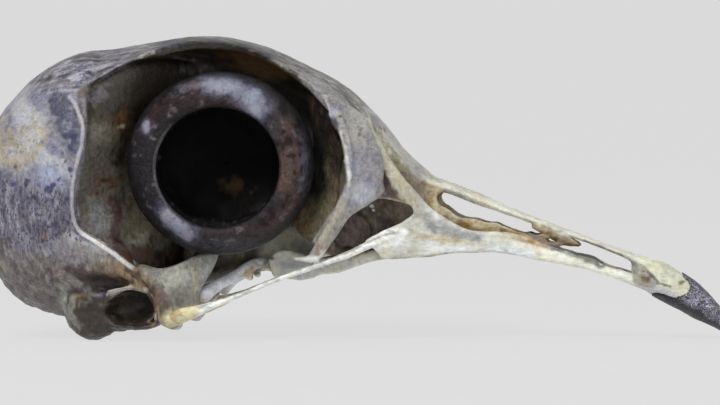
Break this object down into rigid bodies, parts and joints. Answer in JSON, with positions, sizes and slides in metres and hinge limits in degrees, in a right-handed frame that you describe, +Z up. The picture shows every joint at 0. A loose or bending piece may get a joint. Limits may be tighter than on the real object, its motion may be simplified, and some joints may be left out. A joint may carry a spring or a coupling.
{
  "type": "bird skull",
  "caption": "Life-size pigeon skull without its lower jaw, scleral rings in both orbits, slender decurved bill with slit nostrils and a horn tip, lying on its ear bullae and bill tip.",
  "frame": {"origin": "centre of the footprint, on the surface that the skull rests on", "axes": "+X forward along the bill, +Y to the bird's left, +Z up"},
  "size_m": [0.0549, 0.0178, 0.0214],
  "materials": {
    "bone": "dry bone, cream to grey, with brown and olive stains, slightly waxy",
    "stained_bone": "dry bone, blue-white with purple-grey speckle and brown stains",
    "scleral_ring": "brown-purple dried scleral plates with pale patches, satin",
    "dried_tissue": "nearly black shrunken eye tissue, folded, slightly glossy",
    "horn": "dark purple-black horn sheath, mottled, flaking at its edge, satin"
  },
  "bodies": {
    "root": {"braincase": "stained_bone", "frontal_roof": "bone", "interorbital_septum": "bone", "lacrimal_right": "bone", "lacrimal_left": "bone", "premaxilla": "bone", "nasal_right": "bone", "nasal_left": "bone", "maxilla_right": "bone", "maxilla_left": "bone", "palatine_right": "bone", "palatine_left": "bone", "jugal_right": "bone", "jugal_left": "bone", "quadrate_right": "bone", "quadrate_left": "bone", "pterygoid_right": "bone", "pterygoid_left": "bone", "scleral_ring_right": "scleral_ring", "scleral_ring_left": "scleral_ring", "dried_eye_right": "dried_tissue", "dried_eye_left": "dried_tissue", "bill_horn_tip": "horn"}
  },
  "joints": []
}
